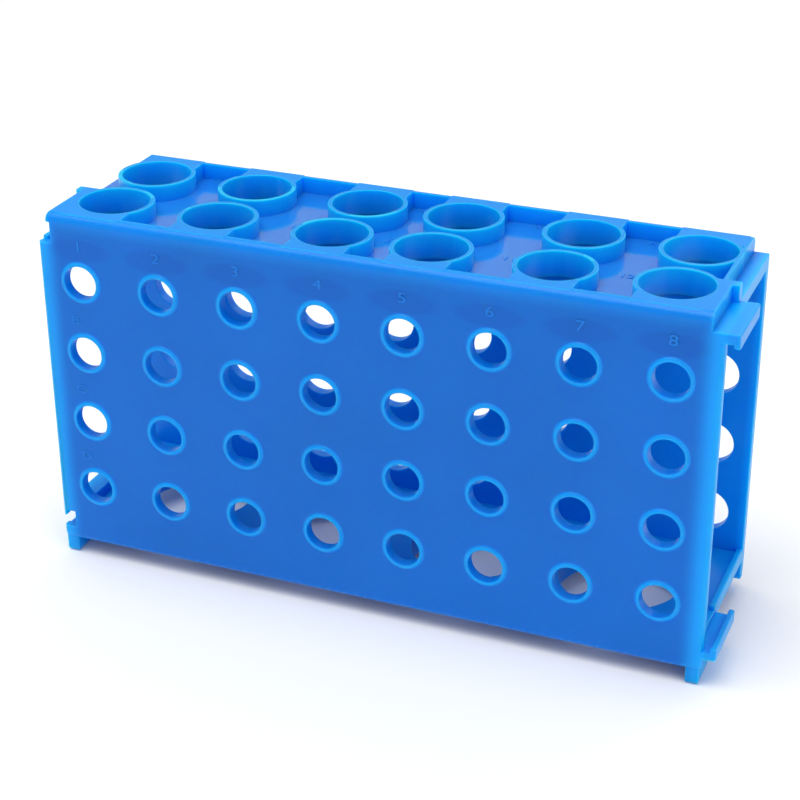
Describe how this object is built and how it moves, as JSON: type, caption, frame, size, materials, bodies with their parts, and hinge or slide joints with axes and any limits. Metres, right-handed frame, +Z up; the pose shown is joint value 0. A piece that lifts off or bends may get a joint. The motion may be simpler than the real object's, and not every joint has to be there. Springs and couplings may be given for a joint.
{
  "type": "four-way tube rack",
  "caption": "Plastic tube rack for use on any of its long sides: round wells on top, a grid of small collared holes on the front and back, and hooks that link racks end to end.",
  "frame": {"origin": "on the plane of the feet, under the middle of the long body and of its wells", "axes": "+X to the right along the rack, +Y from the front panel to the back panel, +Z up"},
  "size_m": [0.1693, 0.0482, 0.0926],
  "materials": {
    "polypropylene": "satin"
  },
  "bodies": {
    "root": {"rack_body": "polypropylene"}
  },
  "joints": []
}
